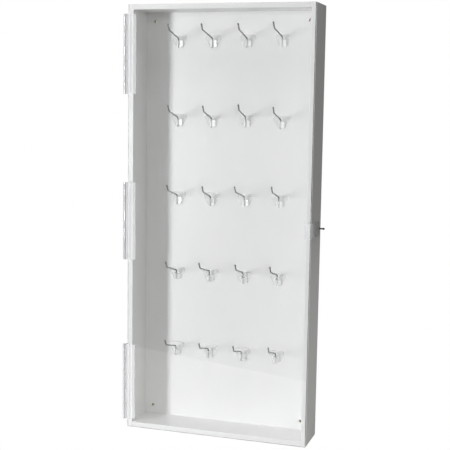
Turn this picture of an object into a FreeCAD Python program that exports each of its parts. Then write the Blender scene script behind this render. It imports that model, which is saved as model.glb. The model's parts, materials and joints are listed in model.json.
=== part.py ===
"""Wall-hung necklace cabinet: a shallow white box with a clear hinged door and swivelling hooks.

Frame: millimetres, +X to the right, +Y into the wall, +Z up. The origin is on the back face,
at the middle of the four wall-screw holes. The door's front face is at Y = -depth.
"""
import FreeCAD, Part
import math
import os
import re
import Sketcher
from FreeCAD import Placement, Rotation, Vector

doc = FreeCAD.newDocument("necklace_cabinet")
sizes = doc.addObject("Spreadsheet::Sheet", "Sizes")

DIMENSIONS = [
    # the case
    ("width", 303), ("height", 687), ("depth", 70), ("board", 8), ("board_edge", 0.8),
    ("screw_inset", 22.5), ("screw_radius", 2.25),
    # the clear door, a little narrower than the case and just clear of its front edge
    ("door_sheet", 5), ("door_gap", 0.5), ("door_inset", 0.5), ("polished_edge", 0.4),
    # the thickness of the cement under each clear piece that is stuck on
    ("cement", 0.05),
    # the three hinges, whose pins stand off the case's front left corner
    ("hinge_length", 125), ("hinge_margin", 15), ("knuckle_radius", 3), ("leaf_sheet", 1.5),
    ("leaf_reach", 17), ("knuckle_gap", 0.3), ("hinge_pin_radius", 1), ("running_fit", 0.05),
    # the latch: a hasp on the door that reaches back along the right side, and its pin
    ("hasp_height", 22), ("hasp_sheet", 5), ("hasp_lap", 7.5), ("hasp_gap", 0.5), ("hasp_reach", 42),
    ("hasp_corner", 1.2), ("pin_radius", 1.2), ("pin_ball", 1.8), ("pin_back", 31), ("pin_out", 8),
    ("catch_skin", 1), ("catch_fit", 0.3),
    # the hook sockets: a shield-shaped plate with a barrel that the wire's leg turns in
    ("side_column_inset", 65.25), ("top_row_drop", 49.7), ("low_row_rise", 130.5), ("leg_standoff", 7),
    ("shield_sheet", 2), ("shield_above", 5.5), ("shield_below", 13.5), ("shield_top", 31),
    ("shield_foot", 12), ("shield_shoulder", 4.5), ("shield_toe", 1.5), ("barrel_radius", 3.2),
    ("barrel_root", 11), ("barrel_below", 3.3),
    # the wire hooks, whose ball tips stop short of the door
    ("wire_radius", 1.1), ("leg_length", 15.5), ("leg_bend", 2.6), ("arm_slope", 14.2), ("tip_reach", 5),
    ("tip_slope", 58), ("tip_rise", 8.2), ("tip_bend", 5), ("tip_ball", 1.5), ("tip_clearance", 3.5),
    ("end_round", 0.9),
]
# How each hook happens to stand, row by row: its turn from straight ahead, in whole degrees
# towards +X, and how far its leg is drawn up out of the barrel, in whole millimetres.
HOOK_TURNS = ((-1, -4, -1, -3), (0, 1, 2, 0), (-1, 2, -3, 0), (-2, -3, 1, 0), (-2, -1, -1, 0))
HOOK_LIFTS = ((0, 0, 0, 2), (0, 0, 3, 0), (0, 0, 2, 4), (2, 4, 5, 5), (0, 0, 0, 3))
ROWS = len(HOOK_TURNS)
COLUMNS = len(HOOK_TURNS[0])
KNUCKLES = 5
NEARLY_ZERO = 1e-4
ACROSS = Vector(1, 0, 0)
INWARD = Vector(0, 1, 0)
UP = Vector(0, 0, 1)

size = dict(DIMENSIONS)
for line, (alias, value) in enumerate(DIMENSIONS, start=1):
    sizes.set(f"A{line}", alias)
    sizes.set(f"B{line}", str(value))
    sizes.setAlias(f"B{line}", alias)
doc.recompute()

finished = []


def formula(text):
    """Point each dimension named in a formula at its cell of the sheet."""
    return re.sub("[a-z_]+", lambda word: "Sizes." + word[0] if word[0] in size else word[0], text)


def bind(item, **formulas):
    """Bind an object's properties to formulas; a double underscore stands for a dot."""
    for name, text in formulas.items():
        item.setExpression(name.replace("__", "."), formula(text))


def place(item, x="0", y="0", z="0"):
    """Bind an object's position to formulas."""
    bind(item, Placement__Base__x=x, Placement__Base__y=y, Placement__Base__z=z)


def keep(item, label):
    """Give a finished sub-part its name and put it on the list to write."""
    item.Label = label
    finished.append(item)


def block(name, length, width, height, x, y, z):
    """A box with its lowest corner at x, y, z."""
    box = doc.addObject("Part::Box", name)
    bind(box, Length=length, Width=width, Height=height)
    place(box, x, y, z)
    return box


def rod(name, radius, length, x, y, z, axis):
    """A cylinder that starts at x, y, z and runs along an axis."""
    cylinder = doc.addObject("Part::Cylinder", name)
    cylinder.Placement = Placement(Vector(), Rotation(UP, axis))
    bind(cylinder, Radius=radius, Height=length)
    place(cylinder, x, y, z)
    return cylinder


def fuse(name, shapes):
    union = doc.addObject("Part::MultiFuse", name)
    union.Shapes = shapes
    return union


def cut(name, base, tool):
    difference = doc.addObject("Part::Cut", name)
    difference.Base = base
    difference.Tool = tool
    return difference


def ease(name, base, radius, chosen):
    """Round the edges that a test chooses."""
    doc.recompute()
    rounded = doc.addObject("Part::Fillet", name)
    rounded.Base = base
    edges = base.Shape.Edges
    rounded.Edges = [(number, radius, radius) for number, edge in enumerate(edges, 1) if chosen(edge)]
    return rounded


def along(edge, direction):
    """Whether an edge is a straight line in a direction."""
    if edge.Curve.TypeId != "Part::GeomLine":
        return False
    return edge.Curve.Direction.cross(direction).Length < NEARLY_ZERO


def origin_feature(body, role):
    return next(item for item in body.Origin.OriginFeatures if item.Role == role)


def new_sketch(body, name, plane, height="0"):
    """A sketch on one of a body's own origin planes, raised off it by a formula."""
    sketch = body.newObject("Sketcher::SketchObject", name)
    sketch.AttachmentSupport = [(origin_feature(body, plane), "")]
    sketch.MapMode = "FlatFace"
    bind(sketch, AttachmentOffset__Base__z=height)
    return sketch


def draw_line(sketch, start, end):
    return sketch.addGeometry(Part.LineSegment(Vector(*start, 0), Vector(*end, 0)), False)


def draw_outline(sketch, points):
    """Closed straight outline whose corners stay joined."""
    following = points[1:] + points[:1]
    lines = [draw_line(sketch, start, end) for start, end in zip(points, following)]
    for line, after in zip(lines, lines[1:] + lines[:1]):
        sketch.addConstraint(Sketcher.Constraint("Coincident", line, 2, after, 1))
    return lines


def draw_circle(sketch, radius):
    """A circle about the sketch's origin with a bound radius."""
    index = sketch.addGeometry(Part.Circle(Vector(), UP, value_of(radius)), False)
    sketch.addConstraint(Sketcher.Constraint("Coincident", index, 3, -1, 1))
    measure(sketch, radius, "Radius", index)
    return index


def measure(sketch, text, kind, *places):
    """A driving dimension bound to a formula."""
    start_value = value_of(text)
    if kind == "Angle":
        start_value = math.radians(start_value)
        text = f"({text}) * 1 deg"
    index = sketch.addConstraint(Sketcher.Constraint(kind, *places, start_value))
    name = f"size_{index}"
    sketch.renameConstraint(index, name)
    sketch.setExpression("Constraints." + name, formula(text))


def value_of(text):
    """The present value of a formula, worked out from the sheet."""
    return float(sizes.evalExpression(formula(text)))


def pad(body, name, sketch, length, centred=False):
    feature = body.newObject("PartDesign::Pad", name)
    feature.Profile = sketch
    feature.Midplane = centred
    bind(feature, Length=length)
    return feature


def bore_through(body, name, sketch):
    feature = body.newObject("PartDesign::Pocket", name)
    feature.Profile = sketch
    feature.Type = "ThroughAll"
    feature.Midplane = True
    return feature


def round_off(body, name, radius, chosen):
    """Round the edges of a body's last feature that a test chooses."""
    doc.recompute()
    base = body.Tip
    edges = base.Shape.Edges
    names = [f"Edge{number}" for number, edge in enumerate(edges, 1) if chosen(edge)]
    feature = body.newObject("PartDesign::Fillet", name)
    feature.Base = (base, names)
    bind(feature, Radius=radius)
    return feature


# The case: five lacquered boards. The sides run full height, and the top, bottom and back
# are glued between them. Their front edges are slightly rounded.
CASE_FRONT = "0 - depth + door_sheet + door_gap"
CASE_DEPTH = "depth - door_sheet - door_gap"


def front_edges(direction):
    front = value_of(CASE_FRONT)
    return lambda edge: along(edge, direction) and abs(edge.CenterOfMass.y - front) < NEARLY_ZERO


left = block("left_board", "board", CASE_DEPTH, "height", "0 - width / 2", CASE_FRONT, "0 - height / 2")
keep(ease("left_eased", left, size["board_edge"], front_edges(UP)), "left_side")

right = block("right_board", "board", CASE_DEPTH, "height", "width / 2 - board", CASE_FRONT, "0 - height / 2")
catch = rod("catch_hole", "pin_radius + catch_fit", "board - catch_skin", "width / 2 - board + catch_skin",
            "pin_back - depth", "0", ACROSS)
drilled_right = cut("right_drilled", right, catch)
keep(ease("right_eased", drilled_right, size["board_edge"], front_edges(UP)), "right_side")

for label, level in (("top_panel", "height / 2 - board"), ("bottom_panel", "0 - height / 2")):
    shelf = block(label + "_board", "width - 2 * board", CASE_DEPTH, "board", "board - width / 2",
                  CASE_FRONT, level)
    keep(ease(label + "_eased", shelf, size["board_edge"], front_edges(ACROSS)), label)

back = block("back_board", "width - 2 * board", "board", "height - 2 * board", "board - width / 2",
             "0 - board", "board - height / 2")
screw_holes = []
for column, x in (("left", "screw_inset - width / 2"), ("right", "width / 2 - screw_inset")):
    for row, z in (("low", "screw_inset - height / 2"), ("high", "height / 2 - screw_inset")):
        hole = rod(f"screw_hole_{column}_{row}", "screw_radius", "board", x, "0 - board", z, INWARD)
        screw_holes.append(hole)
keep(cut("back_drilled", back, fuse("screw_holes", screw_holes)), "back_panel")

# The door: one clear acrylic sheet over the whole front, with polished, slightly rounded edges.
door = block("door_sheet_blank", "width - 2 * door_inset", "door_sheet", "height", "door_inset - width / 2",
             "0 - depth", "0 - height / 2")
keep(ease("door_eased", door, size["polished_edge"], lambda edge: True), "door_panel")

# The hinges: two clear leaves that meet round a steel pin. The axis stands one knuckle radius
# and the cement to the left of the case, and as far in front of the door, so each leaf's inner
# face lies on its cement. A leaf's own frame has the pin on Z and its plate along +Y; turning it
# half round about the line X = Y lays the plate along +X.
HINGE_X = "0 - width / 2 - cement - knuckle_radius"
HINGE_Y = "0 - depth - cement - knuckle_radius"
KNUCKLE_LENGTH = f"( hinge_length - {KNUCKLES - 1} * knuckle_gap ) / {KNUCKLES}"
KNUCKLE_PITCH = f"( hinge_length + knuckle_gap ) / {KNUCKLES}"
HINGE_STATIONS = (("upper", "height / 2 - hinge_margin - hinge_length / 2"), ("middle", "0"),
                  ("lower", "hinge_margin + hinge_length / 2 - height / 2"))


def draw_flap(sketch):
    """The plate's cross-section, clear of the other leaf's knuckles."""
    near = size["knuckle_radius"] + size["knuckle_gap"]
    inner = size["knuckle_radius"] - size["leaf_sheet"]
    outer = size["knuckle_radius"]
    far = size["leaf_reach"]
    lines = draw_outline(sketch, [(inner, near), (outer, near), (outer, far), (inner, far)])
    for line, kind in zip(lines, ("Horizontal", "Vertical") * 2):
        sketch.addConstraint(Sketcher.Constraint(kind, line))
    measure(sketch, "knuckle_radius - leaf_sheet", "DistanceX", -1, 1, lines[0], 1)
    measure(sketch, "knuckle_radius + knuckle_gap", "DistanceY", -1, 1, lines[0], 1)
    measure(sketch, "knuckle_radius", "DistanceX", -1, 1, lines[2], 1)
    measure(sketch, "leaf_reach", "DistanceY", -1, 1, lines[2], 1)


def draw_knuckle(sketch):
    """The knuckle's cross-section: a round that runs tangentially into the plate."""
    radius = size["knuckle_radius"]
    inner = radius - size["leaf_sheet"]
    far = size["leaf_reach"]
    rise = math.acos(inner / radius)
    outer_face = draw_line(sketch, (radius, 0), (radius, far))
    end_face = draw_line(sketch, (radius, far), (inner, far))
    inner_face = draw_line(sketch, (inner, far), (inner, radius * math.sin(rise)))
    circle = Part.Circle(Vector(), UP, radius)
    wrap = sketch.addGeometry(Part.ArcOfCircle(circle, rise, 2 * math.pi), False)
    sketch.addConstraint(Sketcher.Constraint("Coincident", outer_face, 2, end_face, 1))
    sketch.addConstraint(Sketcher.Constraint("Coincident", end_face, 2, inner_face, 1))
    sketch.addConstraint(Sketcher.Constraint("Coincident", inner_face, 2, wrap, 1))
    sketch.addConstraint(Sketcher.Constraint("Tangent", wrap, 2, outer_face, 1))
    sketch.addConstraint(Sketcher.Constraint("Coincident", wrap, 3, -1, 1))
    sketch.addConstraint(Sketcher.Constraint("Vertical", outer_face))
    sketch.addConstraint(Sketcher.Constraint("Horizontal", end_face))
    sketch.addConstraint(Sketcher.Constraint("Vertical", inner_face))
    measure(sketch, "knuckle_radius", "Radius", wrap)
    measure(sketch, "leaf_sheet", "DistanceX", end_face, 2, end_face, 1)
    measure(sketch, "leaf_reach", "DistanceY", -1, 1, outer_face, 2)


def hinge_leaf(label, first, count):
    """A leaf whose knuckles start at one place and skip every other place."""
    body = doc.addObject("PartDesign::Body", label + "_body")
    flap_sketch = new_sketch(body, label + "_flap_sketch", "XY_Plane")
    draw_flap(flap_sketch)
    pad(body, label + "_flap", flap_sketch, "hinge_length", centred=True)
    start = f"{first} * {KNUCKLE_PITCH} - hinge_length / 2"
    knuckle_sketch = new_sketch(body, label + "_knuckle_sketch", "XY_Plane", start)
    draw_knuckle(knuckle_sketch)
    knuckle = pad(body, label + "_knuckle", knuckle_sketch, KNUCKLE_LENGTH)
    pattern = body.newObject("PartDesign::LinearPattern", label + "_knuckles")
    pattern.Originals = [knuckle]
    pattern.Direction = (origin_feature(body, "Z_Axis"), [""])
    pattern.Occurrences = count
    bind(pattern, Length=f"{2 * (count - 1)} * {KNUCKLE_PITCH}")
    body.Tip = pattern
    bore_sketch = new_sketch(body, label + "_bore_sketch", "XY_Plane")
    draw_circle(bore_sketch, "hinge_pin_radius + running_fit")
    bore_through(body, label + "_bore", bore_sketch)
    keep(body, label)
    return body


for station, level in HINGE_STATIONS:
    case_leaf = hinge_leaf(f"hinge_case_leaf_{station}", 0, (KNUCKLES + 1) // 2)
    place(case_leaf, HINGE_X, HINGE_Y, level)
    door_leaf = hinge_leaf(f"hinge_door_leaf_{station}", 1, KNUCKLES // 2)
    door_leaf.Placement = Placement(Vector(), Rotation(Vector(1, 1, 0), 180))
    place(door_leaf, HINGE_X, HINGE_Y, level)
    pin = rod(f"hinge_pin_{station}_rod", "hinge_pin_radius", "hinge_length", HINGE_X, HINGE_Y,
              level + " - hinge_length / 2", UP)
    keep(pin, f"hinge_pin_{station}")

# The latch: an L-shaped clear hasp on the door's front, whose long leg reaches back along the
# case's right side, and a ball-ended pin that slides through it into the side's blind hole.
HASP_OUT = "width / 2 + hasp_gap + hasp_sheet"
hasp = doc.addObject("PartDesign::Body", "latch_hasp_body")
hasp_sketch = new_sketch(hasp, "latch_hasp_outline", "XY_Plane")
lap_x = size["width"] / 2 - size["hasp_lap"]
inner_x = size["width"] / 2 + size["hasp_gap"]
outer_x = inner_x + size["hasp_sheet"]
lap_y = -size["depth"] - size["cement"]
front_y = lap_y - size["hasp_sheet"]
rear_y = size["hasp_reach"] - size["depth"]
hasp_lines = draw_outline(hasp_sketch, [(lap_x, lap_y), (lap_x, front_y), (outer_x, front_y),
                                        (outer_x, rear_y), (inner_x, rear_y), (inner_x, lap_y)])
for line, kind in zip(hasp_lines, ("Vertical", "Horizontal") * 3):
    hasp_sketch.addConstraint(Sketcher.Constraint(kind, line))
measure(hasp_sketch, "width / 2 - hasp_lap", "DistanceX", -1, 1, hasp_lines[0], 1)
measure(hasp_sketch, "0 - depth - cement", "DistanceY", -1, 1, hasp_lines[0], 1)
measure(hasp_sketch, "0 - depth - cement - hasp_sheet", "DistanceY", -1, 1, hasp_lines[1], 1)
measure(hasp_sketch, HASP_OUT, "DistanceX", -1, 1, hasp_lines[2], 1)
measure(hasp_sketch, "hasp_reach - depth", "DistanceY", -1, 1, hasp_lines[3], 2)
measure(hasp_sketch, "width / 2 + hasp_gap", "DistanceX", -1, 1, hasp_lines[5], 1)
pad(hasp, "latch_hasp_pad", hasp_sketch, "hasp_height", centred=True)
round_off(hasp, "latch_hasp_corners", "hasp_corner",
          lambda edge: along(edge, UP) and edge.CenterOfMass.x > inner_x + NEARLY_ZERO)
hole_sketch = new_sketch(hasp, "latch_hasp_hole", "YZ_Plane")
hole_circle = hole_sketch.addGeometry(Part.Circle(Vector(rear_y, 0, 0), UP, size["pin_radius"]), False)
hole_sketch.addConstraint(Sketcher.Constraint("PointOnObject", hole_circle, 3, -1))
measure(hole_sketch, "pin_back - depth", "DistanceX", -1, 1, hole_circle, 3)
measure(hole_sketch, "pin_radius + running_fit", "Radius", hole_circle)
bore_through(hasp, "latch_hasp_bore", hole_sketch)
keep(hasp, "latch_hasp")

shank = rod("latch_pin_shank", "pin_radius", "hasp_sheet + pin_out", "width / 2 + hasp_gap",
            "pin_back - depth", "0", ACROSS)
ball = doc.addObject("Part::Sphere", "latch_pin_ball")
bind(ball, Radius="pin_ball")
place(ball, HASP_OUT + " + pin_out", "pin_back - depth", "0")
keep(fuse("latch_pin_whole", [shank, ball]), "latch_pin")


# The hook sockets. Each one's own frame has the wire's leg on Z, the height at which the wire
# turns forward at Z = 0, and the cemented back of its plate at Y = leg_standoff.
def draw_shield(sketch):
    """Symmetrical four-cornered outline, wide at the top."""
    top = size["shield_top"] / 2
    foot = size["shield_foot"] / 2
    above = size["shield_above"]
    below = -size["shield_below"]
    lines = draw_outline(sketch, [(-foot, below), (foot, below), (top, above), (-top, above)])
    for line in (lines[0], lines[2]):
        sketch.addConstraint(Sketcher.Constraint("Symmetric", line, 1, line, 2, -2))
    measure(sketch, "shield_foot", "DistanceX", lines[0], 1, lines[0], 2)
    measure(sketch, "shield_top", "DistanceX", lines[2], 2, lines[2], 1)
    measure(sketch, "0 - shield_below", "DistanceY", -1, 1, lines[0], 1)
    measure(sketch, "shield_above", "DistanceY", -1, 1, lines[2], 1)


def draw_barrel(sketch):
    """A round nose about the leg with flanks that spread towards the plate."""
    radius = size["barrel_radius"]
    root = size["barrel_root"] / 2
    depth = size["leg_standoff"] - size["shield_sheet"]
    spread = math.atan2(depth, root) - math.acos(radius / math.hypot(root, depth))
    touch_x = radius * math.cos(spread)
    touch_y = radius * math.sin(spread)
    circle = Part.Circle(Vector(), UP, radius)
    nose = sketch.addGeometry(Part.ArcOfCircle(circle, math.pi - spread, 2 * math.pi + spread), False)
    right_flank = draw_line(sketch, (touch_x, touch_y), (root, depth))
    base = draw_line(sketch, (root, depth), (-root, depth))
    left_flank = draw_line(sketch, (-root, depth), (-touch_x, touch_y))
    sketch.addConstraint(Sketcher.Constraint("Coincident", nose, 3, -1, 1))
    sketch.addConstraint(Sketcher.Constraint("Tangent", nose, 2, right_flank, 1))
    sketch.addConstraint(Sketcher.Constraint("Coincident", right_flank, 2, base, 1))
    sketch.addConstraint(Sketcher.Constraint("Coincident", base, 2, left_flank, 1))
    sketch.addConstraint(Sketcher.Constraint("Tangent", left_flank, 2, nose, 1))
    sketch.addConstraint(Sketcher.Constraint("Symmetric", base, 1, base, 2, -2))
    measure(sketch, "barrel_radius", "Radius", nose)
    measure(sketch, "barrel_root", "DistanceX", base, 2, base, 1)
    measure(sketch, "leg_standoff - shield_sheet", "DistanceY", -1, 1, base, 1)


def hook_base(label):
    body = doc.addObject("PartDesign::Body", label + "_body")
    shield_sketch = new_sketch(body, label + "_outline", "XZ_Plane", "0 - leg_standoff")
    draw_shield(shield_sketch)
    shield = pad(body, label + "_shield", shield_sketch, "shield_sheet")
    doc.recompute()
    middle = (size["shield_above"] - size["shield_below"]) / 2
    round_off(body, label + "_shoulders", "shield_shoulder",
              lambda edge: along(edge, INWARD) and edge.CenterOfMass.z > middle)
    round_off(body, label + "_toes", "shield_toe",
              lambda edge: along(edge, INWARD) and edge.CenterOfMass.z < middle)
    barrel_sketch = new_sketch(body, label + "_nose", "XY_Plane", "0 - shield_below")
    draw_barrel(barrel_sketch)
    pad(body, label + "_barrel", barrel_sketch, "shield_below - barrel_below")
    bore_sketch = new_sketch(body, label + "_bore_sketch", "XY_Plane")
    draw_circle(bore_sketch, "wire_radius + running_fit")
    bore_through(body, label + "_bore", bore_sketch)
    keep(body, label)
    return body


# The wire hooks: an upright leg in the barrel, a long rising arm and a steeper tip with a ball
# on its end, bent from one rod. Seen from the side, the path lies in the plane of X = 0 and
# heads towards -Y.
ARM_REACH = "depth - door_sheet - board - cement - leg_standoff - tip_reach - tip_ball - tip_clearance"
TIP_OUT = f"0 - ({ARM_REACH}) - tip_reach"
TIP_UP = f"({ARM_REACH}) * tan(arm_slope * 1 deg) + tip_rise"


def draw_hook_path(sketch):
    """Three straight runs joined by two tangent bends."""
    slope = math.radians(size["arm_slope"])
    steep = math.radians(size["tip_slope"])
    reach = value_of(ARM_REACH)
    rise = reach * math.tan(slope)
    setback = size["leg_bend"] * math.tan((math.pi / 2 - slope) / 2)
    ease_back = size["tip_bend"] * math.tan((steep - slope) / 2)
    arm = (-math.cos(slope), math.sin(slope))
    tip = (-math.cos(steep), math.sin(steep))
    tip_length = size["tip_rise"] / math.sin(steep)
    leg_end = (0, -setback)
    arm_start = (arm[0] * setback, arm[1] * setback)
    arm_end = (-reach - arm[0] * ease_back, rise - arm[1] * ease_back)
    tip_start = (-reach + tip[0] * ease_back, rise + tip[1] * ease_back)
    tip_end = (-reach + tip[0] * tip_length, rise + tip[1] * tip_length)
    leg_line = draw_line(sketch, (0, -size["leg_length"]), leg_end)
    leg_centre = Vector(-size["leg_bend"], -setback, 0)
    leg_arc = Part.ArcOfCircle(Part.Circle(leg_centre, UP, size["leg_bend"]), 0, math.pi / 2 - slope)
    leg_bend = sketch.addGeometry(leg_arc, False)
    arm_line = draw_line(sketch, arm_start, arm_end)
    tip_centre = Vector(arm_end[0] + arm[1] * size["tip_bend"], arm_end[1] - arm[0] * size["tip_bend"], 0)
    tip_arc = Part.ArcOfCircle(Part.Circle(tip_centre, UP, size["tip_bend"]),
                               1.5 * math.pi - steep, 1.5 * math.pi - slope)
    tip_bend = sketch.addGeometry(tip_arc, False)
    tip_line = draw_line(sketch, tip_start, tip_end)
    sketch.addConstraint(Sketcher.Constraint("PointOnObject", leg_line, 1, -2))
    sketch.addConstraint(Sketcher.Constraint("Vertical", leg_line))
    sketch.addConstraint(Sketcher.Constraint("Tangent", leg_line, 2, leg_bend, 1))
    sketch.addConstraint(Sketcher.Constraint("Tangent", leg_bend, 2, arm_line, 1))
    sketch.addConstraint(Sketcher.Constraint("Tangent", arm_line, 2, tip_bend, 2))
    sketch.addConstraint(Sketcher.Constraint("Tangent", tip_bend, 1, tip_line, 1))
    sketch.addConstraint(Sketcher.Constraint("PointOnObject", -1, 1, arm_line))
    measure(sketch, "0 - leg_length", "DistanceY", -1, 1, leg_line, 1)
    measure(sketch, "leg_bend", "Radius", leg_bend)
    measure(sketch, "tip_bend", "Radius", tip_bend)
    measure(sketch, "180 - arm_slope", "Angle", arm_line)
    measure(sketch, "180 - tip_slope", "Angle", tip_line)
    measure(sketch, TIP_OUT, "DistanceX", -1, 1, tip_line, 2)
    measure(sketch, TIP_UP, "DistanceY", -1, 1, tip_line, 2)


def hook_wire(label):
    body = doc.addObject("PartDesign::Body", label + "_body")
    path = new_sketch(body, label + "_path", "YZ_Plane")
    draw_hook_path(path)
    section = new_sketch(body, label + "_section", "XY_Plane", "0 - leg_length")
    draw_circle(section, "wire_radius")
    doc.recompute()
    wire = body.newObject("PartDesign::AdditivePipe", label + "_bent")
    wire.Profile = section
    wire.Spine = (path, [f"Edge{number}" for number in range(1, len(path.Shape.Edges) + 1)])
    doc.recompute()
    foot = min(wire.Shape.Faces, key=lambda face: face.CenterOfMass.z)
    round_off(body, label + "_foot", "end_round", lambda edge: any(edge.isSame(rim) for rim in foot.Edges))
    ball = body.newObject("PartDesign::AdditiveSphere", label + "_ball")
    bind(ball, Radius="tip_ball")
    place(ball, "0", TIP_OUT, TIP_UP)
    keep(body, label)
    return body


COLUMN_PITCH = f"(width - 2 * side_column_inset) / {COLUMNS - 1}"
ROW_PITCH = f"(height - top_row_drop - low_row_rise) / {ROWS - 1}"
for row, (turns, lifts) in enumerate(zip(HOOK_TURNS, HOOK_LIFTS), start=1):
    for column, (turn, lift) in enumerate(zip(turns, lifts), start=1):
        spot = (f"side_column_inset - width / 2 + {column - 1} * {COLUMN_PITCH}",
                "0 - board - cement - leg_standoff", f"height / 2 - top_row_drop - {row - 1} * {ROW_PITCH}")
        socket = hook_base(f"hook_base_r{row}c{column}")
        place(socket, *spot)
        hook = hook_wire(f"hook_wire_r{row}c{column}")
        hook.Placement = Placement(Vector(), Rotation(UP, turn))
        place(hook, spot[0], spot[1], f"{spot[2]} + {lift}")

doc.recompute()
failed = [item.Name for item in doc.Objects if "Invalid" in item.State or "Error" in item.State]
if failed:
    raise RuntimeError("these features failed: " + ", ".join(failed))
for item in finished:
    if item.Shape.isNull() or not item.Shape.isValid() or len(item.Shape.Solids) != 1:
        raise RuntimeError(f"{item.Label} is not one valid solid")

os.makedirs("parts", exist_ok=True)
for item in finished:
    item.Shape.exportStep(f"parts/{item.Label}.step")
print(len(finished), "sub-parts written")
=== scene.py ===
"""Wall-hung necklace cabinet: a white lacquered box with a clear hinged door and swivelling hooks.

Metres, +X to the right, +Y into the wall, +Z up. The origin is on the back face, at its middle.
The sections follow the cabinet as it is put together, from the glued case to the studio round it.
"""
import json
import math
import bpy
import numpy as np
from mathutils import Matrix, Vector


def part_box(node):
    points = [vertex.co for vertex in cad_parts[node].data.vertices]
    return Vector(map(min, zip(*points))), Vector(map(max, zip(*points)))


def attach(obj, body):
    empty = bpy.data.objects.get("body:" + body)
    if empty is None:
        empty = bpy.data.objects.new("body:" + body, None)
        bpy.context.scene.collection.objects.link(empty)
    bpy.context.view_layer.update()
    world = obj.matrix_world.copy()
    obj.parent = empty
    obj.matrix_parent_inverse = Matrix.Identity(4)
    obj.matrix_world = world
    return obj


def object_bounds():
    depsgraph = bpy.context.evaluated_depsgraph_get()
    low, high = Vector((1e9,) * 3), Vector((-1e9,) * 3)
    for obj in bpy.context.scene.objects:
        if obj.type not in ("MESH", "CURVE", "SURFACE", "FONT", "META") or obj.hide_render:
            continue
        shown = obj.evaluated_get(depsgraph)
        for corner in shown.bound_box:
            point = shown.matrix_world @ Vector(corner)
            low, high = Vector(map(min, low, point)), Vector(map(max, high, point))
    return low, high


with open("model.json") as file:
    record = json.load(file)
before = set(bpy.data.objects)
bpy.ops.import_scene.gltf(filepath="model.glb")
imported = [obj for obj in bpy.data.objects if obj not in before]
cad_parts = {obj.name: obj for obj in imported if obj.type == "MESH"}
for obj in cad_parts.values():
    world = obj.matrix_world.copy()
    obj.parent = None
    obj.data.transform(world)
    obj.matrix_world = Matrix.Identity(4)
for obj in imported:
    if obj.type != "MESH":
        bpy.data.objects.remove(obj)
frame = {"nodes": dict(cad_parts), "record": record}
cad_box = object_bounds()
scene = bpy.context.scene
scene.view_settings.view_transform = "Standard"

# ---- The case: five 8 mm fibreboard boards, glued up and sprayed with white lacquer. The lacquer lies
# in a faint orange peel, is a shade warmer in broad patches, and is rubbed thin along the edges.
BOARDS = ("left_side", "right_side", "top_panel", "bottom_panel", "back_panel")
LACQUER_WHITE = (0.885, 0.885, 0.88, 1)
LACQUER_WARM = (0.875, 0.874, 0.866, 1)
RUBBED_EDGE = (0.80, 0.785, 0.75, 1)
WARM_PATCH = 0.09
RUBBED_REACH = 0.001
RUBBED_STRENGTH = 0.35
SMEAR_PITCH = 0.03
SMEAR_LOW, SMEAR_HIGH = 0.29, 0.31
PEEL_PITCH = 0.0016
PEEL_DEPTH = 0.000012
PEEL_STRENGTH = 0.25


def node(tree, kind, sockets=None, **settings):
    """A new shader node with its settings, and with its input sockets set or linked."""
    made = tree.nodes.new("ShaderNode" + kind)
    for name, value in settings.items():
        setattr(made, name, value)
    for name, value in (sockets or {}).items():
        if isinstance(value, bpy.types.NodeSocket):
            tree.links.new(value, made.inputs[name])
        else:
            made.inputs[name].default_value = value
    return made


def group_tree(name, inputs, outputs):
    """An empty node group with float inputs at their usual values, and with float outputs."""
    tree = bpy.data.node_groups.new(name, "ShaderNodeTree")
    for label, usual in inputs.items():
        socket = tree.interface.new_socket(label, in_out="INPUT", socket_type="NodeSocketFloat")
        socket.default_value = usual
    for label in outputs:
        tree.interface.new_socket(label, in_out="OUTPUT", socket_type="NodeSocketFloat")
    return tree, tree.nodes.new("NodeGroupInput"), tree.nodes.new("NodeGroupOutput")


def place_group(tree, group, **values):
    """A node that places a group in a material, with its inputs set or linked."""
    made = tree.nodes.new("ShaderNodeGroup")
    made.node_tree = group
    for label, value in values.items():
        if isinstance(value, bpy.types.NodeSocket):
            tree.links.new(value, made.inputs[label])
        else:
            made.inputs[label].default_value = value
    return made


def mottle_group():
    """Soft patches: noise of a given pitch in metres, stretched along Z, between Low and High."""
    noise_low, noise_high, detail = 0.3, 0.7, 3.0
    usual = {"Pitch": 0.05, "Stretch": 1.0, "Low": 0.0, "High": 1.0}
    tree, given, result = group_tree("mottle", usual, ("Tone",))
    place = node(tree, "TexCoord")
    squeeze = node(tree, "Math", {0: 1.0, 1: given.outputs["Stretch"]}, operation="DIVIDE")
    shape = node(tree, "CombineXYZ", {"X": 1.0, "Y": 1.0, "Z": squeeze.outputs[0]})
    drawn = node(tree, "VectorMath", {0: place.outputs["Object"], 1: shape.outputs[0]},
                 operation="MULTIPLY")
    scale = node(tree, "Math", {0: 1.0, 1: given.outputs["Pitch"]}, operation="DIVIDE")
    noise = node(tree, "TexNoise", {"Vector": drawn.outputs[0], "Scale": scale.outputs[0],
                                    "Detail": detail})
    spread = node(tree, "MapRange", {"Value": noise.outputs["Fac"],
                                     "From Min": noise_low, "From Max": noise_high,
                                     "To Min": given.outputs["Low"], "To Max": given.outputs["High"]})
    tree.links.new(spread.outputs[0], result.inputs["Tone"])
    return tree


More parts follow.
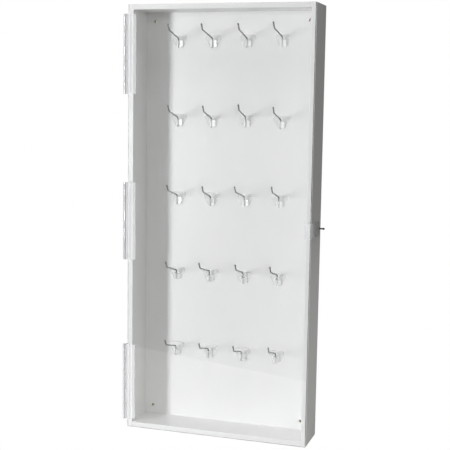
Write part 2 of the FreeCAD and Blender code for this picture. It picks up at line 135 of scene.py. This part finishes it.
def edge_wear_group():
    """Wear on sharp edges: how far the normal turns within Reach, broken up by patches."""
    unworn_cosine, worn_cosine = 0.995, 0.80
    patch_pitch, least_patch = 0.012, 0.25
    tree, given, result = group_tree("edge_wear", {"Reach": 0.001, "Strength": 1.0}, ("Wear",))
    rounded = node(tree, "Bevel", {"Radius": given.outputs["Reach"]}, samples=6)
    flat = node(tree, "NewGeometry")
    facing = node(tree, "VectorMath", {0: rounded.outputs[0], 1: flat.outputs["Normal"]},
                  operation="DOT_PRODUCT")
    turn = node(tree, "MapRange", {"Value": facing.outputs["Value"],
                                   "From Min": unworn_cosine, "From Max": worn_cosine})
    patches = place_group(tree, MOTTLE, Pitch=patch_pitch, Low=least_patch, High=1.0)
    broken = node(tree, "Math", {0: turn.outputs[0], 1: patches.outputs["Tone"]}, operation="MULTIPLY")
    wear = node(tree, "Math", {0: broken.outputs[0], 1: given.outputs["Strength"]}, operation="MULTIPLY")
    tree.links.new(wear.outputs[0], result.inputs["Wear"])
    return tree


def new_material(name):
    """A material with an empty tree, its Principled shader and its output node."""
    material = bpy.data.materials.new(name)
    material.use_nodes = True
    tree = material.node_tree
    return material, tree, tree.nodes["Principled BSDF"], tree.nodes["Material Output"]


def blend_colours(tree, share, first, second):
    """The colour that lies between two others by a share from 0 to 1."""
    mix = node(tree, "Mix", data_type="RGBA")
    for socket, value in ((mix.inputs[0], share), (mix.inputs[6], first), (mix.inputs[7], second)):
        if isinstance(value, bpy.types.NodeSocket):
            tree.links.new(value, socket)
        else:
            socket.default_value = value
    return mix.outputs[2]


def emboss(tree, shader, height, strength, depth):
    """Raise and lower a shader's surface by a height from 0 to 1, over a depth in metres."""
    bump = node(tree, "Bump", {"Strength": strength, "Distance": depth, "Height": height})
    tree.links.new(bump.outputs[0], shader.inputs["Normal"])


def dress(names, material):
    """Give CAD nodes one material."""
    for name in names:
        mesh = frame["nodes"][name].data
        mesh.materials.clear()
        mesh.materials.append(material)


MOTTLE = mottle_group()
EDGE_WEAR = edge_wear_group()


def white_lacquer():
    material, tree, shader, _ = new_material("white_lacquer")
    patches = place_group(tree, MOTTLE, Pitch=WARM_PATCH)
    wear = place_group(tree, EDGE_WEAR, Reach=RUBBED_REACH, Strength=RUBBED_STRENGTH)
    coat = blend_colours(tree, patches.outputs["Tone"], LACQUER_WHITE, LACQUER_WARM)
    colour = blend_colours(tree, wear.outputs["Wear"], coat, RUBBED_EDGE)
    tree.links.new(colour, shader.inputs["Base Color"])
    smears = place_group(tree, MOTTLE, Pitch=SMEAR_PITCH, Low=SMEAR_LOW, High=SMEAR_HIGH)
    rough = node(tree, "Math", {0: smears.outputs["Tone"], 1: wear.outputs["Wear"]}, operation="ADD")
    tree.links.new(rough.outputs[0], shader.inputs["Roughness"])
    peel = place_group(tree, MOTTLE, Pitch=PEEL_PITCH)
    emboss(tree, shader, peel.outputs["Tone"], PEEL_STRENGTH, PEEL_DEPTH)
    return material


dress(BOARDS, white_lacquer())

# ---- The screw holes: each was drilled through the lacquer, so a ring of raw tan fibreboard shows
# round its mouth, where the lacquer chipped, and all down its bore.
FIBREBOARD = (0.82, 0.74, 0.60, 1)
FIBREBOARD_DARK = (0.70, 0.60, 0.44, 1)
screw_mount = next(mount for mount in frame["record"]["mounts"] if mount["name"] == "wall_screws")
HOLE_RADIUS = screw_mount["dims"]["hole_r_mm"] / 1000
HOLE_ACROSS = screw_mount["dims"]["spacing_x_mm"] / 2000
HOLE_UP = screw_mount["dims"]["spacing_y_mm"] / 2000
SLEEVE = 0.00006
FLANGE = 0.00005
CHIP = 0.00045
LEAST_CHIP = 0.00015
CHIP_UNEVENNESS = 0.22
CHIP_WAVES = np.arange(2, 14)
RIM_SPOKES = 96
FIRST_SEED = 7
FIBRE_PITCH = 0.0004
CLUMP_PITCH = 0.0015
FUZZ_PITCH = 0.0006
FUZZ_LOW, FUZZ_HIGH = 0.75, 0.95
FIBRE_DEPTH = 0.0001
FIBRE_STRENGTH = 0.8
FIBRE_SHINE = 0.2


def screw_hole_rim(name, centre_x, centre_z, seed):
    """A closed ring swept round Y. Its profile goes down the bore, back up inside the sleeve and out
    over the panel's face to a chipped radius, which is a sum of sines of the angle."""
    front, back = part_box("back_panel")[0][1], 0.0
    angle = np.linspace(0, 2 * math.pi, RIM_SPOKES, endpoint=False)
    draw = np.random.default_rng(seed)
    sizes = draw.uniform(0, CHIP_UNEVENNESS, CHIP_WAVES.size)
    shifts = draw.uniform(0, 2 * math.pi, CHIP_WAVES.size)
    waves = sizes[:, None] * np.sin(CHIP_WAVES[:, None] * angle + shifts[:, None])
    chip = CHIP * (1 + waves.sum(0))
    outer = np.full_like(angle, HOLE_RADIUS)
    inner = outer - SLEEVE
    lip = outer + np.clip(chip, LEAST_CHIP, None)
    radius = np.stack([outer, inner, inner, inner + FLANGE, lip - FLANGE, lip, outer])
    depth = np.array([back, back, front + FLANGE, front - FLANGE, front - FLANGE, front, front])
    rings, spokes = radius.shape
    points = np.stack([centre_x + radius * np.cos(angle), np.repeat(depth[:, None], spokes, 1),
                       centre_z + radius * np.sin(angle)], axis=-1)
    ring, spoke = np.meshgrid(np.arange(rings), np.arange(spokes), indexing="ij")
    after_ring, after_spoke = (ring + 1) % rings, (spoke + 1) % spokes
    faces = np.stack([ring * spokes + spoke, ring * spokes + after_spoke,
                      after_ring * spokes + after_spoke, after_ring * spokes + spoke], axis=-1)
    mesh = bpy.data.meshes.new(name)
    mesh.from_pydata(points.reshape(-1, 3), [], faces.reshape(-1, 4))
    piece = bpy.data.objects.new(name, mesh)
    scene.collection.objects.link(piece)
    return piece


def raw_fibreboard():
    material, tree, shader, _ = new_material("raw_fibreboard")
    fibres = place_group(tree, MOTTLE, Pitch=FIBRE_PITCH)
    clumps = place_group(tree, MOTTLE, Pitch=CLUMP_PITCH)
    share = node(tree, "Math", {0: fibres.outputs["Tone"], 1: clumps.outputs["Tone"]},
                 operation="MULTIPLY")
    tree.links.new(blend_colours(tree, share.outputs[0], FIBREBOARD, FIBREBOARD_DARK),
                   shader.inputs["Base Color"])
    shader.inputs["Specular IOR Level"].default_value = FIBRE_SHINE
    fuzz = place_group(tree, MOTTLE, Pitch=FUZZ_PITCH, Low=FUZZ_LOW, High=FUZZ_HIGH)
    tree.links.new(fuzz.outputs["Tone"], shader.inputs["Roughness"])
    emboss(tree, shader, fibres.outputs["Tone"], FIBRE_STRENGTH, FIBRE_DEPTH)
    return material


fibreboard = raw_fibreboard()
for column, side in (("left", -1), ("right", 1)):
    for row, up in (("low", -1), ("high", 1)):
        rim = screw_hole_rim(f"screw_hole_rim_{column}_{row}", side * HOLE_ACROSS, up * HOLE_UP,
                             FIRST_SEED + side + 3 * up)
        rim.data.materials.append(fibreboard)
        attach(rim, "case")

# ---- The door: one 5 mm sheet of clear cast acrylic. Its faces have the faint waves of casting and a
# few wiped smudges, and its sawn edges are polished but still a little hazy. Their darker tint is
# partly that haze and partly painted shade, for the dark band that the edge's shadow leaves on the
# case's front edges.
ACRYLIC_TINT = (0.985, 0.992, 0.988, 1)
# The sawn edges' darker tint: partly their haze, partly painted shade for the band their shadow leaves on
# the case.
SAWN_TINT_AND_EDGE_SHADE = (0.88, 0.89, 0.90, 1)
SAWN_DEPTH = 0.0006
ACRYLIC_IOR = 1.49
CLOUD_PITCH = 0.03
CLOUD_STRETCH = 3.0
CLOUD_SHADE = (0.985, 0.985, 0.99)
WIPED_SHARE = 0.3
WAVE_LENGTH_TO_HEIGHT = 1000
WAVE_STRETCH = 4.0
WAVE_STRENGTH = 0.06


def clear_plastic(name, tint, clearness, roughness, wave_height, lamp_share, sawn_edge_and_shade=None):
    """Plastic that bends what is seen through it, and that lets the given share of lamp light and
    bounced light through. The less clear it is, the more white is scattered in it. A sawn edge is a
    tint and how far out along X it starts; the tint is partly haze and partly painted shade."""
    material, tree, shader, output = new_material(name)
    shader.inputs["Transmission Weight"].default_value = clearness
    shader.inputs["IOR"].default_value = ACRYLIC_IOR
    clouds = place_group(tree, MOTTLE, Pitch=CLOUD_PITCH, Stretch=CLOUD_STRETCH)
    clouded = [level * shade for level, shade in zip(tint, CLOUD_SHADE)] + [1]
    colour = blend_colours(tree, clouds.outputs["Tone"], tint, clouded)
    if sawn_edge_and_shade:
        edge_haze_and_shade, edge_at = sawn_edge_and_shade
        place = node(tree, "SeparateXYZ", {0: node(tree, "TexCoord").outputs["Object"]})
        from_middle = node(tree, "Math", {0: place.outputs["X"]}, operation="ABSOLUTE")
        at_edge = node(tree, "Math", {0: from_middle.outputs[0], 1: edge_at}, operation="GREATER_THAN")
        # Darker beyond the sawn edge: partly haze, partly painted shade standing in for the edge's shadow
        # band.
        colour = blend_colours(tree, at_edge.outputs[0], colour, edge_haze_and_shade)
    tree.links.new(colour, shader.inputs["Base Color"])
    smudges = place_group(tree, MOTTLE, Pitch=CLOUD_PITCH, Stretch=CLOUD_STRETCH,
                          Low=WIPED_SHARE * roughness, High=roughness)
    tree.links.new(smudges.outputs["Tone"], shader.inputs["Roughness"])
    wave_length = WAVE_LENGTH_TO_HEIGHT * wave_height
    waves = place_group(tree, MOTTLE, Pitch=wave_length, Stretch=WAVE_STRETCH)
    emboss(tree, shader, waves.outputs["Tone"], WAVE_STRENGTH, wave_height)
    path = node(tree, "LightPath")
    lamp_rays = node(tree, "Math", {0: path.outputs["Is Shadow Ray"], 1: path.outputs["Is Diffuse Ray"]},
                     operation="MAXIMUM")
    open_way = node(tree, "BsdfTransparent", {"Color": (lamp_share, lamp_share, lamp_share, 1)})
    mix = node(tree, "MixShader", {0: lamp_rays.outputs[0], 1: shader.outputs[0], 2: open_way.outputs[0]})
    tree.links.new(mix.outputs[0], output.inputs["Surface"])
    return material


door_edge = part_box("door_panel")[1][0] - SAWN_DEPTH
clear_acrylic = clear_plastic("clear_acrylic", ACRYLIC_TINT, clearness=1.0, roughness=0.015,
                              wave_height=0.00008, lamp_share=0.90, sawn_edge_and_shade=(SAWN_TINT_AND_EDGE_SHADE, door_edge))
dress(("door_panel",), clear_acrylic)

# ---- The hinges: pairs of strips in milky translucent acrylic, each a flat cemented leaf with its
# share of the knuckles, that meet round a drawn steel pin.
STATIONS = ("upper", "middle", "lower")
MILKY = (0.99, 0.99, 1.0, 1)
STEEL = (0.24, 0.24, 0.25, 1)
STEEL_DARK = (0.15, 0.15, 0.155, 1)
STREAK_PITCH = 0.0005
STREAK_STRETCH = 25.0
STREAK_DEPTH = 0.00002
STREAK_STRENGTH = 0.3
TARNISH_PITCH = 0.01
RUB_PITCH = 0.002
RUB_STRETCH = 6.0


def drawn_metal(name, light, dark, low_roughness, high_roughness):
    """Metal drawn along its length: long streaks in colour, roughness and height."""
    material, tree, shader, _ = new_material(name)
    shader.inputs["Metallic"].default_value = 1.0
    streaks = place_group(tree, MOTTLE, Pitch=STREAK_PITCH, Stretch=STREAK_STRETCH)
    tarnish = place_group(tree, MOTTLE, Pitch=TARNISH_PITCH)
    share = node(tree, "Math", {0: streaks.outputs["Tone"], 1: tarnish.outputs["Tone"]},
                 operation="MULTIPLY")
    tree.links.new(blend_colours(tree, share.outputs[0], light, dark), shader.inputs["Base Color"])
    rubs = place_group(tree, MOTTLE, Pitch=RUB_PITCH, Stretch=RUB_STRETCH,
                       Low=low_roughness, High=high_roughness)
    tree.links.new(rubs.outputs["Tone"], shader.inputs["Roughness"])
    emboss(tree, shader, streaks.outputs["Tone"], STREAK_STRENGTH, STREAK_DEPTH)
    return material


milky_acrylic = clear_plastic("milky_acrylic", MILKY, clearness=0.75, roughness=0.05,
                              wave_height=0.00002, lamp_share=0.98)
for side in ("case", "door"):
    dress([f"hinge_{side}_leaf_{station}" for station in STATIONS], milky_acrylic)
steel = drawn_metal("bright_steel", STEEL, STEEL_DARK, low_roughness=0.18, high_roughness=0.34)
dress([f"hinge_pin_{station}" for station in STATIONS], steel)

# ---- The latch: a clear hasp, bent round the case's corner and cemented to the door, and the
# ball-ended steel pin that is pushed through it into the side of the case.
HASP_TINT = (0.985, 0.99, 0.99, 1)
hasp_acrylic = clear_plastic("clear_hasp_acrylic", HASP_TINT, clearness=0.82, roughness=0.02,
                             wave_height=0.00003, lamp_share=0.96)
dress(("latch_hasp",), hasp_acrylic)
dress(("latch_pin",), steel)

# ---- The hook sockets: clear moulded shields with a barrel down the middle, cemented to the back.
SOCKETS = [name for name in frame["nodes"] if name.startswith("hook_base_")]
SOCKET_TINT = (0.975, 0.98, 0.975, 1)
socket_plastic = clear_plastic("clear_socket_plastic", SOCKET_TINT, clearness=0.55, roughness=0.15,
                               wave_height=0.000004, lamp_share=0.93)
dress(SOCKETS, socket_plastic)

# ---- The hooks: 2.2 mm wire, bent three times, tipped with a ball and chrome plated. Each is loose
# enough in its barrel to turn.
HOOKS = [name for name in frame["nodes"] if name.startswith("hook_wire_")]
CHROME = (0.30, 0.30, 0.295, 1)
CHROME_DARK = (0.19, 0.19, 0.185, 1)
hook_chrome = drawn_metal("hook_chrome", CHROME, CHROME_DARK, low_roughness=0.26, high_roughness=0.38)
dress(HOOKS, hook_chrome)

# ---- The studio: a pale table whose front edge lies just before the cabinet, a key light to the left
# and four weak fills. The table and the surroundings are plain white where they are looked at, also
# through plastic, and dim in what they light and where they are mirrored.
WHITE = (1, 1, 1, 1)
TABLE_TURN = math.radians(18.5)
TABLE_FRONT = 0.435
TABLE_DROP = 0.0002
TABLE_HALF_WIDTH = 1.6
TABLE_DEPTH = 2.4
TABLE_PAINT = (0.86, 0.86, 0.85, 1)
TABLE_PAINT_DULL = (0.84, 0.84, 0.83, 1)
TABLE_PATCH = 0.2
TABLE_ROUGHNESS = 0.6
TABLE_GLOW = 0.04
TABLE_GLOW_TINT = (1.0, 1.0, 0.985, 1)
table_mesh = bpy.data.meshes.new("floor")
along = np.array([-1, 1, 1, -1]) * TABLE_HALF_WIDTH
inward = np.array([0, 0, 1, 1]) * TABLE_DEPTH - TABLE_FRONT
table_points = np.stack([along * math.cos(TABLE_TURN) - inward * math.sin(TABLE_TURN),
                         along * math.sin(TABLE_TURN) + inward * math.cos(TABLE_TURN),
                         np.full(4, cad_box[0][2] - TABLE_DROP)], axis=-1)
table_mesh.from_pydata(table_points, [], [(0, 1, 2, 3)])
table = bpy.data.objects.new("floor", table_mesh)
scene.collection.objects.link(table)


def seen_straight(tree):
    """Masks for what the eye sees straight or through plastic, and for what it sees mirrored."""
    path = node(tree, "LightPath")
    half_a_bounce = 0.5
    mirrored = node(tree, "Math", {0: path.outputs["Glossy Depth"], 1: half_a_bounce},
                    operation="GREATER_THAN")
    through = node(tree, "Math", {0: path.outputs["Is Transmission Ray"], 1: mirrored.outputs[0]},
                   operation="SUBTRACT", use_clamp=True)
    seen = node(tree, "Math", {0: path.outputs["Is Camera Ray"], 1: through.outputs[0]},
                operation="MAXIMUM")
    return seen.outputs[0], mirrored.outputs[0]


table_paint, tree, shader, output = new_material("pale_floor")
shader.inputs["Roughness"].default_value = TABLE_ROUGHNESS
patches = place_group(tree, MOTTLE, Pitch=TABLE_PATCH)
tree.links.new(blend_colours(tree, patches.outputs["Tone"], TABLE_PAINT, TABLE_PAINT_DULL),
               shader.inputs["Base Color"])
shader.inputs["Emission Color"].default_value = TABLE_GLOW_TINT
shader.inputs["Emission Strength"].default_value = TABLE_GLOW
white_out = node(tree, "Emission", {"Color": WHITE, "Strength": 1.0})
seen, _ = seen_straight(tree)
mix = node(tree, "MixShader", {0: seen, 1: shader.outputs[0], 2: white_out.outputs[0]})
tree.links.new(mix.outputs[0], output.inputs["Surface"])
table_mesh.materials.append(table_paint)

# Each light: its name, distance, turn to the right of straight ahead and rise in degrees, width,
# height, power and colour. All face the cabinet's middle, and only the key light is mirrored.
LIGHTS = (
    ("key_light", 2.6, -39.2, 2.0, 0.32, 0.9, 52.5, (0.975, 0.98, 1.0)),
    ("front_fill", 2.2, 8.0, 12.0, 1.6, 1.6, 7.5, (1.0, 1.0, 0.995)),
    ("right_fill", 2.2, 35.0, 10.0, 1.2, 1.2, 8.8, (1.0, 1.0, 0.98)),
    ("top_fill", 1.6, 0.0, 75.0, 1.4, 0.8, 10.5, (1.0, 1.0, 0.995)),
    ("back_fill", 2.2, 180.0, 15.0, 0.4, 1.2, 5.0, (1.0, 1.0, 1.0)),
)
for name, distance, turn, rise, width, height, power, colour in LIGHTS:
    light_data = bpy.data.lights.new(name, "AREA")
    light_data.shape = "RECTANGLE"
    light_data.size = width
    light_data.size_y = height
    light_data.energy = power
    light_data.color = colour
    light = bpy.data.objects.new(name, light_data)
    turn, rise = math.radians(turn), math.radians(rise)
    level = distance * math.cos(rise)
    light.location = (level * math.sin(turn), -level * math.cos(turn), distance * math.sin(rise))
    light.rotation_euler = (math.pi / 2 - rise, 0, turn)
    light.visible_camera = False
    light.visible_transmission = False
    light.visible_glossy = name == "key_light"
    scene.collection.objects.link(light)

# The room round the table: its colour in what it lights, and its colour where it is mirrored.
SURROUNDINGS = (0.034, 0.034, 0.033, 1)
MIRRORED = (0.07, 0.07, 0.07, 1)
world = bpy.data.worlds.new("studio")
world.use_nodes = True
tree = world.node_tree
seen, mirrored = seen_straight(tree)
unseen = blend_colours(tree, mirrored, SURROUNDINGS, MIRRORED)
tree.links.new(blend_colours(tree, seen, unseen, WHITE), tree.nodes["Background"].inputs["Color"])
scene.world = world

# ---- The camera: it stands a metre and a half off, to the right of the cabinet and a little above
# its middle, and is held very slightly out of level. Its turns are in degrees.
CAMERA_PLACE = (0.4927, -1.5640, 0.1962)
CAMERA_TURNS = (82.93, -0.86, 17.865)
LENS = 80.66
SENSOR = 36
camera_data = bpy.data.cameras.new("camera")
camera_data.lens = LENS
camera_data.sensor_width = SENSOR
camera = bpy.data.objects.new("camera", camera_data)
camera.location = CAMERA_PLACE
camera.rotation_euler = [math.radians(turn) for turn in CAMERA_TURNS]
scene.collection.objects.link(camera)
scene.camera = camera
